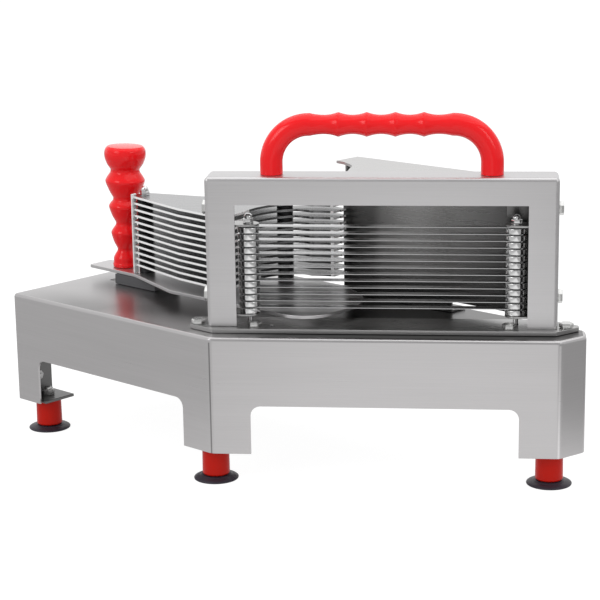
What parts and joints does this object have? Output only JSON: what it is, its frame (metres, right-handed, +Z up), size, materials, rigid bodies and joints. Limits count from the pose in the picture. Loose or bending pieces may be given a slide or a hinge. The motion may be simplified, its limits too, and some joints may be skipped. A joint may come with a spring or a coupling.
{
  "type": "tomato slicer",
  "caption": "Benchtop tomato slicer: level blades in a portal frame on a folded steel stand, and a slatted pusher that slides aslant through them, with a red knob and a red carrying handle.",
  "frame": {"origin": "centre of the bounding box at the level of the bench, under the stand", "axes": "+Z up, +X along the front panel and the blades, to the right as seen from the front; +Y from the front panel to the back"},
  "size_m": [0.4906, 0.3121, 0.2997],
  "materials": {
    "brushed_sheet": "brushed stainless sheet",
    "ground_plate": "ground stainless plate",
    "blade_steel": "polished blade steel",
    "slat_aluminium": "bright milled aluminium",
    "chromed_steel": "bright turned spacers",
    "zinc_fixing": "bright fixings",
    "red_grip": "glossy red moulding",
    "red_sleeve": "satin red moulding",
    "dark_spacer": "dark spacers",
    "black_rubber": "black rubber",
    "white_nylon": "white nylon"
  },
  "bodies": {
    "stand": {"base_shell": "brushed_sheet", "blade_01": "blade_steel", "blade_02": "blade_steel", "blade_03": "blade_steel", "blade_04": "blade_steel", "blade_05": "blade_steel", "blade_06": "blade_steel", "blade_07": "blade_steel", "blade_08": "blade_steel", "blade_09": "blade_steel", "blade_10": "blade_steel", "blade_11": "blade_steel", "blade_12": "blade_steel", "blade_13": "blade_steel", "blade_frame": "brushed_sheet", "blade_rod_left": "chromed_steel", "blade_rod_right": "chromed_steel", "fence": "brushed_sheet", "foot_bracket_left": "ground_plate", "foot_bracket_rear": "ground_plate", "foot_sleeve_left": "red_sleeve", "foot_sleeve_middle": "red_sleeve", "foot_sleeve_rear": "red_sleeve", "foot_sleeve_right": "red_sleeve", "frame_plate": "ground_plate", "plate_bolt_left_inner": "zinc_fixing", "plate_bolt_left_outer": "zinc_fixing", "plate_bolt_right_inner": "zinc_fixing", "plate_bolt_right_outer": "zinc_fixing", "rod_holder_left": "ground_plate", "rod_holder_right": "ground_plate", "suction_cup_left": "black_rubber", "suction_cup_middle": "black_rubber", "suction_cup_rear": "black_rubber", "suction_cup_right": "black_rubber", "tension_bolt_left_lower": "zinc_fixing", "tension_bolt_left_upper": "zinc_fixing", "tension_bolt_right_lower": "zinc_fixing", "tension_bolt_right_upper": "zinc_fixing", "top_handle": "red_grip"},
    "carriage": {"carriage_plate": "brushed_sheet", "knob": "red_grip", "pusher_slat_01": "slat_aluminium", "pusher_slat_02": "slat_aluminium", "pusher_slat_03": "slat_aluminium", "pusher_slat_04": "slat_aluminium", "pusher_slat_05": "slat_aluminium", "pusher_slat_06": "slat_aluminium", "pusher_slat_07": "slat_aluminium", "pusher_slat_08": "slat_aluminium", "pusher_slat_09": "slat_aluminium", "pusher_slat_10": "slat_aluminium", "pusher_slat_11": "slat_aluminium", "pusher_slat_12": "slat_aluminium", "slat_comb": "ground_plate", "slat_rod_far": "dark_spacer", "slat_rod_middle": "dark_spacer", "slat_rod_tail": "dark_spacer", "slider_block": "white_nylon", "slider_keeper": "ground_plate"}
  },
  "joints": [
    {"name": "carriage_slide", "type": "slide", "parent": "stand", "child": "carriage", "axis": [0.7976, -0.6032, 0], "range_m": [-0.015, 0.165]}
  ]
}
